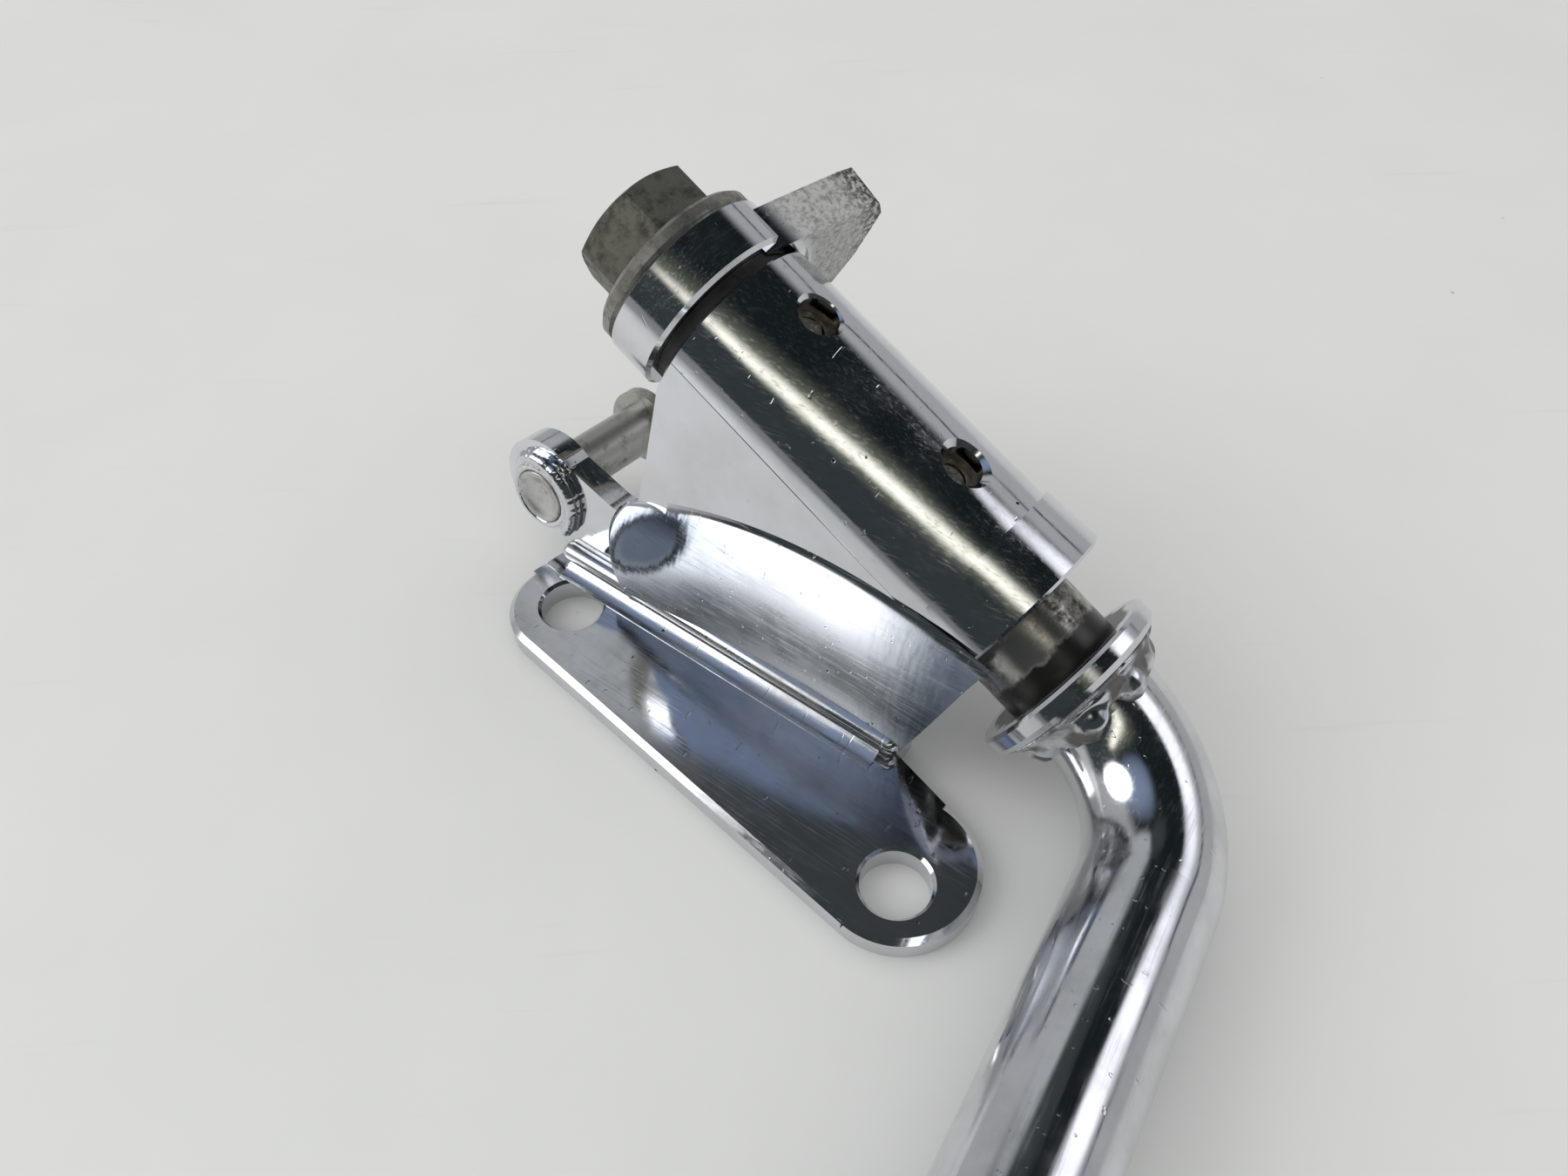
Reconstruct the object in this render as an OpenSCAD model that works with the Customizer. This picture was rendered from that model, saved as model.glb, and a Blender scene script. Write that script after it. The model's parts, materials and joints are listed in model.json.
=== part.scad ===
// Side stand (kickstand) for a motorcycle: a chromed bracket with a sloping
// pivot barrel, and a leg whose shaft turns and slides in that barrel.
// Millimetres. The bracket's mounting face is z = 0, with +Z away from the face.
// The origin is midway between the two bolt holes, which lie along X.
// Rest pose: leg folded up beside the bracket.

/* [Mounting plate] */
// Distance between the two bolt holes, along X
hole_spacing = 72.6; // [66:0.1:80]
// Diameter of each bolt hole
bolt_hole_d = 10.5; // [8.5:0.1:12]
// Thickness of the mounting plate
plate_t = 4.2; // [3.5:0.1:7]
// Radius of the plate's end round the first bolt hole
end_r1 = 10.6; // [9:0.1:13]
// Radius of the plate's end round the second bolt hole
end_r2 = 12.2; // [10:0.1:15]
// Width of the bevel on the plate's top edges
plate_bevel = 0.9; // [0.3:0.1:1.5]
// Width of the countersunk rim at each bolt hole
hole_rim = 0.5; // [0.2:0.1:1]

/* [Web and lug] */
// Where the foot line of the web starts, along X from the origin
fold_x = -45.9; // [-50:0.1:-42]
// Where the foot line of the web starts, along Y from the origin
fold_y = 6.9; // [5:0.1:9]
// How far the foot line of the web turns from the X axis, in degrees
fold_yaw = 7.8; // [4:0.1:10]
// Thickness of the web
web_t = 4.6; // [4:0.1:6]
// How far the bulged lower panel of the web stands forward
panel_rise = 2.4; // [1.5:0.1:3.5]
// Tilt of the panel against the web where it starts, in degrees
panel_tilt = 20; // [12:1:28]
// Radius of the curved line where the panel starts, seen on the web
crease_r = 88; // [80:1:100]
// Radius of the panel's rounded end
panel_end_r = 12.6; // [10:0.1:15]
// Radius of the lug's eye
lug_r = 8.7; // [8:0.1:10]
// Height of the lug's eye above the plate, up the web
lug_up = 12.2; // [11.5:0.1:14]
// How far the lug's eye stands out past the start of the web
lug_out = 4.8; // [4:0.1:7]
// Radius of the boss round the pin's riveted end
boss_r = 6.9; // [6:0.1:8]
// Height of that boss above the face of the web
boss_h = 0.8; // [0.5:0.1:2]
// Radius of the weld bead along the foot of the web
bead_r = 1.7; // [1.3:0.1:2.5]

/* [Pivot barrel] */
// Centre of the barrel's bolt end, along X
pivot_x = -28.3; // [-30:0.1:-26]
// Centre of the barrel's bolt end, along Y
pivot_y = 31.6; // [30:0.1:34]
// Centre of the barrel's bolt end, above the mounting face
pivot_z = 49.2; // [48:0.1:52]
// How far the pivot axis turns from X, in degrees
pivot_yaw = 3.7; // [2:0.1:6]
// How steeply the pivot axis falls towards the leg, in degrees
pivot_slope = 25; // [24:0.1:27]
// Outer radius of the barrel at its bolt end
barrel_r = 14.7; // [14.2:0.1:16]
// How much the barrel's radius grows up to its end ring
barrel_growth = 0.65; // [0.3:0.05:1]
// Length of the barrel
barrel_len = 60; // [56:0.5:64]
// Length of the thicker end ring at the leg end
ring_len = 9.9; // [8:0.1:12]
// Outer radius of the end ring where it starts
ring_r = 15.8; // [15.6:0.1:17]
// Outer radius of the end ring at the barrel's mouth
mouth_r = 16.2; // [16:0.1:17.5]
// How much wider than the bore the mouth round the shaft is, on the radius
mouth_step = 1.2; // [0.8:0.1:1.5]
// Depth of that wider mouth
mouth_depth = 8; // [5:0.5:12]
// Radius of the two grease holes
grease_r = 3.2; // [2.5:0.05:4]
// Width of the bevelled rim round each grease hole
grease_rim = 0.6; // [0.3:0.1:1]
// Distance of the first grease hole from the bolt end
grease_a1 = 10.5; // [9:0.5:13]
// Distance of the second grease hole from the bolt end
grease_a2 = 39.4; // [36:0.1:44]

/* [Shaft, bushes and collars] */
// Radius of the pivot shaft
shaft_r = 9.7; // [9.5:0.05:10]
// Radial running clearance between shaft and bush
run_gap = 0.05; // [0.02:0.01:0.1]
// Wall thickness of each bush
bush_wall = 1.65; // [1.2:0.05:2]
// Length of each bush
bush_len = 21; // [16:0.5:24]
// Gap between the leg stop and the barrel, filled by the thrust washer
thrust_gap = 2.35; // [1.5:0.05:3]
// Width of the thrust washer, from its bore to its rim
thrust_width = 3.15; // [2.5:0.05:3.5]
// How far the shaft slides in the barrel
slide_travel = 7.5; // [5:0.5:9]
// Free length of shaft between the barrel's mouth and the flange
bare_len = 10.1; // [9.5:0.1:12]
// Outer radius of the flange on the shaft
flange_r = 15.2; // [14:0.1:17]
// Thickness of the flange
flange_t = 3.4; // [2.5:0.1:5]
// Length of the weld behind the flange
weld_len = 3.6; // [2:0.1:5]

/* [Leg stop, washer and bolt] */
// Outer radius of the leg stop's collar
stop_r = 14.8; // [14:0.1:16]
// Length of the leg stop's collar along the shaft
stop_len = 8.4; // [7:0.1:10]
// Thickness of the leg stop's arm
arm_t = 7.2; // [6:0.1:8]
// Reach of the arm's end from the pivot axis
arm_reach = 29; // [26:0.5:31]
// How far the arm leans towards the leg, in degrees
arm_lean = 8; // [0:0.5:10]
// Distance across the shaft's two flats that key the leg stop
flat_across = 16.6; // [15:0.1:17.5]
// Outer radius of the flat washer under the bolt head
washer_r = 14.4; // [13:0.1:14.8]
// Thickness of that washer
washer_t = 2.6; // [2:0.1:3.5]
// Distance across the flats of the bolt's hexagon head
hex_af = 19; // [17:0.05:22]
// Height of the bolt's head
hex_h = 9.2; // [7:0.1:10]
// Turn of the bolt's head about the pivot axis, in degrees
hex_turn = 34; // [0:1:59]
// Radius of the bolt's shank
shank_r = 6; // [5:0.1:6.4]
// Length of the bolt's shank
shank_len = 40; // [30:1:45]

/* [Spring pin] */
// Radius of the pin that anchors the return spring
pin_r = 4.5; // [4:0.1:5]
// Length of the pin behind the lug, up to its head
pin_len = 19.5; // [16:0.5:24]
// Radius of the pin's head
pin_head_r = 6.8; // [6:0.1:8]
// Thickness of the pin's head
pin_head_t = 3; // [2:0.1:4]

/* [Leg] */
// How much thicker than the shaft the leg's round bar is, on the radius
bar_over = 0.1; // [0.05:0.05:0.3]
// Distance from the flange's face to where the bend starts
bend_start = 7; // [6.8:0.1:9]
// Radius of the bend, to the bar's centre line
bend_r = 21.8; // [19:0.1:26]
// Angle of the bend, in degrees
bend_angle = 82; // [78:0.1:88]
// Turn of the bend's plane about the pivot axis, in degrees
bend_turn = 8.2; // [6:0.1:11]
// Length of the straight bar after the bend
upper_len = 74; // [60:1:90]
// Angle of the slight set in the leg, in degrees
set_angle = 12; // [10:0.5:13]
// Radius of that slight set
set_r = 370; // [340:10:420]
// Length of the flattened foot
foot_len = 46; // [35:1:60]
// Width of the flattened foot
foot_w = 29; // [24:0.5:34]
// Thickness of the flattened foot at its tip
foot_t = 8.5; // [7:0.1:11]

/* [Hidden] */
$fn = 64;
fit_gap = 0.02;
bush_inset = 0.15;
neck_step = 0.15;

// Bolt holes and the round ends of the plate
hole_x = hole_spacing / 2;
end1 = [-hole_x, 0];
end2 = [hole_x - 1.8, 2.5];
end_gap = norm(end2 - end1);
end_dir = atan2(end2[1] - end1[1], end2[0] - end1[0]);
front_dir = end_dir - acos((end_r1 - end_r2) / end_gap);
front1 = end1 + end_r1 * [cos(front_dir), sin(front_dir)];
front2 = end2 + end_r2 * [cos(front_dir), sin(front_dir)];

// The web's face is tangent to the barrel, so its lean follows from both
web_face = barrel_r + 0.2;
rel_x = pivot_x - fold_x;
rel_y = pivot_y - fold_y;
axis_s = rel_x * cos(fold_yaw) + rel_y * sin(fold_yaw);
axis_y = rel_y * cos(fold_yaw) - rel_x * sin(fold_yaw);
axis_z = pivot_z - plate_t;
lean = acos(web_face / norm([axis_y, axis_z])) - atan2(axis_z, axis_y);
axis_t = axis_y * sin(lean) + axis_z * cos(lean);
dir_y = cos(pivot_slope) * sin(pivot_yaw - fold_yaw);
dir_s0 = cos(pivot_slope) * cos(pivot_yaw - fold_yaw);
dir_t0 = dir_y * sin(lean) - sin(pivot_slope) * cos(lean);
dir_n = norm([dir_s0, dir_t0]);
dir_s = dir_s0 / dir_n;
dir_t = dir_t0 / dir_n;

// A point of the web's face: a along the pivot axis, w across it
function web_at(a, w) = [axis_s + a * dir_s - w * dir_t, axis_t + a * dir_t + w * dir_s];

web_end = barrel_len + 2.2;
web_foot_a = barrel_len + 3.7;
web_foot_end = web_at(web_foot_a, -(axis_t + web_foot_a * dir_t) / dir_s);
web_top = 0.6;
lug = [-lug_out, lug_up];

// How far the web's face is turned about the pivot axis from the away direction
web_turn = asin(cos(lean) * sin(pivot_slope) * sin(fold_yaw - pivot_yaw)
  + sin(lean) * cos(pivot_slope));

// The panel is part of a ring of this section, centred off the web's foot
panel_tube = panel_rise / (1 - cos(panel_tilt));
crease_at = [web_foot_end[0] * 0.78, -crease_r * 0.67];
panel_end = [web_foot_end[0] * 0.32, 9.4];

// Notch between the lug and the web's bolt-side edge
edge_s = 15.9;
notch_r = 4.8;
slope_n = [0.297, 0.955];
slope_c = lug * slope_n + lug_r - 0.7;
notch_x = edge_s - notch_r;
notch = [notch_x, (slope_c + notch_r - slope_n[0] * notch_x) / slope_n[1]];
notch_a = notch - notch_r * slope_n;

// The fold line on the plate
fold_dir = [cos(fold_yaw), sin(fold_yaw)];
fold_away = [-sin(fold_yaw), cos(fold_yaw)];
fold0 = [fold_x, fold_y];
fold1 = fold0 + web_foot_end[0] * fold_dir;
web_back = web_t / cos(lean);
back0 = fold0 + web_back * fold_away;
back1 = fold1 + web_back * fold_away;

// Stack along the pivot axis: 0 is the barrel's bolt-end face
stop_top = -thrust_gap;
stop_base = stop_top - stop_len;
head_base = stop_base - washer_t;
head_top = head_base - hex_h;
flange_a = barrel_len + bare_len;
flange_back = flange_a + flange_t;
bend_a = flange_a + bend_start;
bush_r = shaft_r + run_gap;
bore_r = bush_r + bush_wall;
mouth_bore_r = bore_r + mouth_step;
thrust_r = bush_r + thrust_width;
bar_r = shaft_r + bar_over;
flat_half = flat_across / 2;

// Up, seen along the leg's bar after its bend
up_x = cos(pivot_slope) * sin(bend_turn) * cos(bend_angle) + sin(pivot_slope) * sin(bend_angle);
up_y = -cos(pivot_slope) * cos(bend_turn);
leg_roll = atan2(up_y, up_x);

// Which piece is drawn; "all" draws the whole stand

// Frame of the pivot axis: +Z runs from the bolt end towards the leg,
// +Y points away from the mounting plate's front edge, -X points up
module on_pivot() {
  translate([pivot_x, pivot_y, pivot_z])
    rotate([0, 90 + pivot_slope, pivot_yaw])
      children();
}

// Frame of the web's face: +X along its foot, +Z up its face, +Y into it
module on_web() {
  translate([fold_x, fold_y, plate_t])
    rotate([0, 0, fold_yaw])
      rotate([-lean, 0, 0])
        children();
}

// Turns a flat outline drawn as [along, up] into a slab of the web
module web_slab(front, back) {
  translate([0, back, 0])
    rotate([90, 0, 0])
      linear_extrude(height = back - front)
        children();
}

// Frame where the leg's bar starts to bend, turned into the bend's plane
module on_bend() {
  on_pivot()
    translate([0, 0, bend_a])
      rotate([0, 0, -90 - bend_turn])
        children();
}

// Carries a piece past a bend towards +X
module past_bend(r, angle) {
  translate([r, 0, 0])
    rotate([0, angle, 0])
      translate([-r, 0, 0])
        children();
}

// A bar that starts along +Z and bends towards +X
module bent_bar(r, angle, bar) {
  translate([r, 0, 0])
    rotate([90, 0, 180])
      rotate_extrude(angle = angle, $fn = 96)
        translate([r, 0])
          circle(r = bar, $fn = 48);
}

// The same bar, swept back from the far end of the bend
module bent_bar_back(r, angle, bar) {
  translate([r, 0, 0])
    rotate([90, 0, 0])
      rotate([0, 0, 180 - angle])
        rotate_extrude(angle = angle, $fn = 96)
          translate([r, 0])
            circle(r = bar, $fn = 48);
}

// A ring about the Z axis
module ring(outer, inner, low, high) {
  difference() {
    translate([0, 0, low])
      cylinder(r = outer, h = high - low);
    translate([0, 0, low - 1])
      cylinder(r = inner, h = high - low + 2);
  }
}

// The round end of the plate with its bevelled top edge
module plate_end(at, r) {
  translate([at[0], at[1], 0]) {
    cylinder(r = r, h = plate_t - plate_bevel);
    translate([0, 0, plate_t - plate_bevel])
      cylinder(r1 = r, r2 = r - plate_bevel, h = plate_bevel);
  }
}

// Cuts the bevel along one straight top edge of the plate, which is on its left
module edge_bevel(p, q) {
  c = plate_bevel;
  translate([p[0], p[1], plate_t])
    rotate([0, 0, atan2(q[1] - p[1], q[0] - p[0])])
      rotate([90, 0, 90])
        linear_extrude(height = norm(q - p))
          polygon([[-1, -c - 1], [c + 1, 1], [-1, 1]]);
}

module bolt_hole(x) {
  translate([x, 0, -1])
    cylinder(d = bolt_hole_d, h = plate_t + 2);
  translate([x, 0, plate_t - hole_rim])
    cylinder(d1 = bolt_hole_d, d2 = bolt_hole_d + 2 * hole_rim + 0.2, h = hole_rim + 0.1);
}

module mounting_plate() {
  tip2 = end2 + end_r2 * [cos(96), sin(96)];
  color("gainsboro")
    difference() {
      union() {
        plate_end(end1, end_r1);
        plate_end(end2, end_r2);
        difference() {
          linear_extrude(height = plate_t)
            polygon([end1, front1, front2, end2, tip2, fold1, back1, back0,
              end1 + end_r1 * [-1, 0]]);
          edge_bevel(front1, front2);
        }
      }
      bolt_hole(-hole_x);
      bolt_hole(hole_x);
    }
}

// Outline of the web and its lug, along the foot and up the face
module web_outline() {
  corner_a = web_at(0.5, web_top);
  corner_b = web_at(web_end, web_top);
  difference() {
    union() {
      polygon([[-0.8, -3], [-0.5, 2.4], [-2.2, 4.2], lug, lug + (lug_r - 0.7) * slope_n,
        notch_a, [edge_s, notch[1]], [edge_s + 1.2, axis_t * 0.58], web_at(0.5, -5), corner_a,
        corner_b, web_foot_end, web_foot_end + [0, -3]]);
      translate(lug)
        circle(r = lug_r);
    }
    translate(notch)
      circle(r = notch_r);
  }
}

// The bulged lower panel, part of a wide ring that dips into the web
module panel() {
  intersection() {
    translate([crease_at[0], panel_tube * cos(panel_tilt), crease_at[1]])
      rotate([90, 0, 0])
        rotate_extrude($fn = 180)
          translate([crease_r - panel_tube * sin(panel_tilt), 0])
            circle(r = panel_tube, $fn = 180);
    union() {
      translate([panel_end[0], 0.1, panel_end[1]])
        rotate([90, 0, 0])
          cylinder(r1 = panel_end_r, r2 = panel_end_r - 4, h = 4, $fn = 96);
      web_slab(-4, 0.1)
        polygon([[panel_end[0], -3], [panel_end[0], axis_t - 5], web_at(web_end, 8),
          web_at(web_end, 0), web_foot_end, web_foot_end + [0, -3]]);
    }
  }
}

// The web with its bulged lower panel, the lug and the low boss round its eye
module web() {
  on_web() {
    web_slab(0, web_t)
      web_outline();
    panel();
    translate([lug[0], 0.1, lug[1]])
      rotate([90, 0, 0]) {
        cylinder(r = boss_r, h = boss_h - 0.3);
        translate([0, 0, boss_h - 0.3])
          cylinder(r1 = boss_r, r2 = boss_r - 0.4, h = 0.4);
      }
  }
}

// A cone along the axis whose front line stays flush with the web's face
module flush_cone(r1, r2, h) {
  grow = atan((r2 - r1) / h);
  translate([0, r1 - web_face + 0.05, 0])
    rotate([-grow, 0, 0])
      translate([0, 0, -1])
        cylinder(r1 = r1 - tan(grow), r2 = r2 + tan(grow), h = h + 2, $fn = 96);
}

module barrel_body() {
  grow_len = barrel_len - ring_len;
  rotate([0, 0, -web_turn]) {
    intersection() {
      flush_cone(barrel_r, barrel_r + barrel_growth, grow_len + 1);
      cylinder(r1 = barrel_r - 0.4, r2 = barrel_r + barrel_len, h = grow_len + 1, $fn = 96);
    }
    translate([0, 0, grow_len])
      intersection() {
        flush_cone(ring_r, mouth_r, ring_len);
        translate([0, mouth_r - web_face, 0])
          cylinder(r1 = mouth_r + ring_len - 0.5, r2 = mouth_r - 0.5, h = ring_len, $fn = 96);
      }
  }
}

// A grease hole in the barrel's top
module grease_hole(a, r) {
  translate([0, 0, a])
    rotate([0, -90, 0])
      rotate([-6, 0, 0])
        cylinder(r = r, h = barrel_r + 8, $fn = 48);
}

// The bevelled rim of a grease hole
module grease_bevel(a) {
  translate([0, 0, a])
    rotate([0, -90, 0])
      rotate([-6, 0, 0])
        translate([0, 0, barrel_r - grease_rim])
          cylinder(r1 = grease_r - 0.1, r2 = grease_r + 2 * grease_rim + 0.6,
            h = 2 * grease_rim + 0.7, $fn = 48);
}

module pivot_housing() {
  color("silver")
    difference() {
      union() {
        web();
        on_pivot()
          barrel_body();
      }
      on_pivot() {
        translate([0, 0, -1])
          cylinder(r = bore_r, h = barrel_len + 5, $fn = 96);
        translate([0, 0, barrel_len - mouth_depth])
          cylinder(r = mouth_bore_r, h = mouth_depth + 5, $fn = 96);
        translate([0, 0, barrel_len])
          cylinder(r = shaft_r + 2, h = 20, $fn = 96);
        // Room for the flange when the shaft has slid in
        translate([0, 0, flange_a - slide_travel - 0.3])
          cylinder(r = flange_r + 0.4, h = 20, $fn = 96);
        grease_hole(grease_a1, grease_r);
        grease_hole(grease_a2, grease_r);
        grease_bevel(grease_a1);
        grease_bevel(grease_a2);
      }
      on_web()
        translate([lug[0], -boss_h - 1, lug[1]])
          rotate([-90, 0, 0]) {
            cylinder(r = pin_r + fit_gap, h = boss_h + web_t + 2);
            cylinder(r = pin_r + 0.4, h = 1.8);
          }
      translate([-80, -40, plate_t - 20])
        cube([200, 120, 20]);
    }
}

module foot_weld() {
  bead_len = web_foot_end[0] + 0.6;
  reach = 2.7 * bead_r;
  color("lightgray")
    difference() {
      translate([fold_x, fold_y - 0.3, plate_t])
        rotate([0, 0, fold_yaw]) {
          translate([bead_r, 0, bead_r * 1.05]) {
            sphere(r = bead_r, $fn = 40);
            rotate([0, 90, 0])
              cylinder(r = bead_r, h = bead_len - 2 * bead_r, $fn = 40);
            translate([bead_len - 2 * bead_r, 0, 0])
              sphere(r = bead_r, $fn = 40);
          }
          difference() {
            translate([bead_r * 1.5, -reach, -1])
              cube([bead_len - 3 * bead_r, reach, 1 + bead_r]);
            translate([0, -reach, reach + 0.15])
              rotate([0, 90, 0])
                cylinder(r = reach, h = bead_len, $fn = 64);
          }
        }
      web();
      translate([-80, -40, plate_t - 20])
        cube([200, 120, 20]);
    }
}

module bush(low, hole_a) {
  on_pivot()
    difference() {
      ring(bore_r - fit_gap, bush_r, low, low + bush_len, $fn = 96);
      grease_hole(hole_a, grease_r - 1);
    }
}

module bolt_end_bush() {
  color("peru")
    bush(bush_inset, grease_a1);
}

module leg_end_bush() {
  color("peru")
    bush(barrel_len - mouth_depth - bush_len, grease_a2);
}

module spring_pin() {
  head = web_t + pin_len;
  color("dimgray")
    on_web()
      translate([lug[0], 0, lug[1]])
        rotate([-90, 0, 0]) {
          translate([0, 0, -boss_h + 0.5])
            cylinder(r = pin_r, h = head + boss_h - 0.5);
          translate([0, 0, -boss_h + 0.5])
            cylinder(r = pin_r + 0.3, h = 0.6);
          translate([0, 0, head])
            cylinder(r = pin_head_r, h = pin_head_t - 0.8);
          translate([0, 0, head + pin_head_t - 0.8])
            cylinder(r1 = pin_head_r, r2 = pin_head_r - 1, h = 0.8);
        }
}

module thrust_washer() {
  color("black")
    on_pivot()
      ring(thrust_r, bush_r, stop_top + 0.05, -0.05);
}

// The keyed end of the shaft, also the shape of the leg stop's bore
module keyed_end(r, half) {
  intersection() {
    translate([0, 0, stop_base])
      cylinder(r = r, h = stop_len);
    translate([-half, -2 * r, stop_base])
      cube([2 * half, 4 * r, stop_len]);
  }
}

module pivot_shaft() {
  color("lightsteelblue")
    on_pivot()
      difference() {
        union() {
          translate([0, 0, stop_top])
            cylinder(r = shaft_r, h = flange_back - stop_top, $fn = 96);
          keyed_end(shaft_r, flat_half);
        }
        translate([0, 0, stop_base - 1])
          cylinder(r = shank_r + fit_gap, h = shank_len + 2);
        translate([-2 * shaft_r, -2 * shaft_r, stop_base - 1])
          cube([4 * shaft_r, 4 * shaft_r, 1.3]);
      }
}

// Outline of the leg stop's arm, as parts of its reach
arm_outline = [[-0.43, 0.07], [-0.45, 0.41], [-0.462, 0.82], [-0.45, 0.93], [-0.34, 1],
  [0, 0.98], [0.24, 0.91], [0.41, 0.72], [0.42, 0.41], [0.43, 0.07]];

module leg_stop() {
  arm_root = stop_r * 0.81;
  color("silver")
    on_pivot()
      difference() {
        union() {
          translate([0, 0, stop_base])
            cylinder(r1 = stop_r - 0.6, r2 = stop_r, h = 0.6, $fn = 96);
          translate([0, 0, stop_base + 0.6])
            cylinder(r = stop_r, h = stop_len - 1.2, $fn = 96);
          translate([0, 0, stop_top - 0.6])
            cylinder(r1 = stop_r, r2 = stop_r - 0.6, h = 0.6, $fn = 96);
          translate([0, arm_root, -0.5 - arm_t])
            rotate([arm_lean, 0, 0])
              translate([0, -arm_root, 0])
                linear_extrude(height = arm_t)
                  polygon([for (p = arm_outline) arm_reach * p]);
        }
        translate([0, 0, stop_base - 1])
          cylinder(r = stop_r + arm_reach, h = 1);
        difference() {
          translate([0, 0, stop_base - 1])
            cylinder(r = shaft_r + fit_gap, h = stop_len + 10);
          translate([flat_half + fit_gap, -2 * shaft_r, stop_base - 2])
            cube([2 * shaft_r, 4 * shaft_r, stop_len + 2]);
          translate([-2 * shaft_r - flat_half - fit_gap, -2 * shaft_r, stop_base - 2])
            cube([2 * shaft_r, 4 * shaft_r, stop_len + 2]);
        }
        translate([0, 0, stop_top])
          cylinder(r = thrust_r + 0.3, h = 10);
        translate([0, 0, -0.45])
          cylinder(r = barrel_r + 1.1, h = 10, $fn = 96);
      }
}

module flat_washer() {
  color("darkgray")
    on_pivot()
      difference() {
        union() {
          translate([0, 0, head_base])
            cylinder(r1 = washer_r - 0.7, r2 = washer_r, h = 0.7, $fn = 96);
          translate([0, 0, head_base + 0.7])
            cylinder(r = washer_r, h = washer_t - 1.2, $fn = 96);
          translate([0, 0, stop_base - 0.5])
            cylinder(r1 = washer_r, r2 = washer_r - 0.5, h = 0.5, $fn = 96);
        }
        translate([0, 0, head_base - 1])
          cylinder(r = shank_r + 0.4, h = washer_t + 2);
      }
}

module hex_bolt() {
  hex_r = hex_af / 2 / cos(30);
  color("darkkhaki")
    on_pivot() {
      intersection() {
        translate([0, 0, head_top])
          rotate([0, 0, -hex_turn])
            cylinder(r = hex_r, h = hex_h - 0.4, $fn = 6);
        translate([0, 0, head_top])
          cylinder(r1 = hex_af / 2 - 0.3, r2 = hex_af / 2 - 0.3 + 2 * hex_h, h = hex_h);
      }
      translate([0, 0, head_base - 0.4])
        cylinder(r = hex_af / 2 - 0.3, h = 0.4);
      translate([0, 0, head_base - 0.4])
        cylinder(r = shank_r, h = shank_len + 0.4 - 1);
    }
}

module flange_collar() {
  inner = shaft_r + fit_gap;
  color("gainsboro")
    on_pivot()
      difference() {
        union() {
          translate([0, 0, flange_a])
            cylinder(r1 = flange_r - 0.5, r2 = flange_r, h = 0.5, $fn = 96);
          translate([0, 0, flange_a + 0.5])
            cylinder(r = flange_r, h = flange_t - 1.5, $fn = 96);
          translate([0, 0, flange_back - 1])
            cylinder(r1 = flange_r, r2 = flange_r - 1, h = 1, $fn = 96);
        }
        translate([0, 0, flange_a - 1])
          cylinder(r = inner, h = flange_t + 2, $fn = 96);
      }
}

// The weld between the flange and the leg: a ring with a hollowed flank
module flange_weld() {
  inner = bar_r + neck_step + fit_gap;
  outer = flange_r - 1.2;
  color("silver")
    on_pivot()
      translate([0, 0, flange_back])
        rotate_extrude($fn = 96)
          difference() {
            translate([inner, 0])
              square([outer - inner, weld_len]);
            translate([outer + 0.9, weld_len + 0.7])
              circle(r = weld_len + 0.2, $fn = 48);
          }
}

module leg_bar() {
  neck_len = bend_a - flange_back + 1;
  color("gainsboro")
    on_bend() {
      translate([0, 0, flange_back - bend_a])
        cylinder(r = bar_r + neck_step, h = neck_len, $fn = 48);
      bent_bar_back(bend_r, bend_angle, bar_r);
      past_bend(bend_r, bend_angle) {
        cylinder(r = bar_r, h = upper_len, $fn = 48);
        translate([0, 0, upper_len])
          rotate([0, 0, leg_roll + 180])
            bent_bar(set_r, set_angle, bar_r);
      }
    }
}

module leg_foot() {
  half = foot_w / 2;
  mid = foot_len * 0.5;
  color("gainsboro")
    on_bend()
      past_bend(bend_r, bend_angle)
        translate([0, 0, upper_len])
          rotate([0, 0, leg_roll + 180])
            past_bend(set_r, set_angle) {
              hull() {
                cylinder(r = bar_r, h = 0.4, $fn = 48);
                foot_section(mid, half - 1.6, foot_t + 2.6);
              }
              hull() {
                foot_section(mid, half - 1.6, foot_t + 2.6);
                foot_section(foot_len * 0.68, half, foot_t);
                foot_section(foot_len - foot_t / 2, half * 0.55, foot_t);
              }
            }
}

// One rounded cross piece of the foot: half width and thickness
module foot_section(z, half, thick) {
  for (side = [-1, 1])
    translate([0, side * (half - thick / 2), z])
      sphere(r = thick / 2, $fn = 32);
}

mounting_plate();
pivot_housing();
foot_weld();
bolt_end_bush();
leg_end_bush();
spring_pin();
thrust_washer();
pivot_shaft();
leg_stop();
flat_washer();
hex_bolt();
flange_collar();
flange_weld();
leg_bar();
leg_foot();
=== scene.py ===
"""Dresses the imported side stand: chrome, plated and bare steel finishes, welds, grease, and a small studio.

Everything is in metres in the frame of the CAD model: the mounting face is z = 0 and the bolt holes lie
along X.
"""

import json
import math
import random

import bpy
from mathutils import Matrix, Vector


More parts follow.
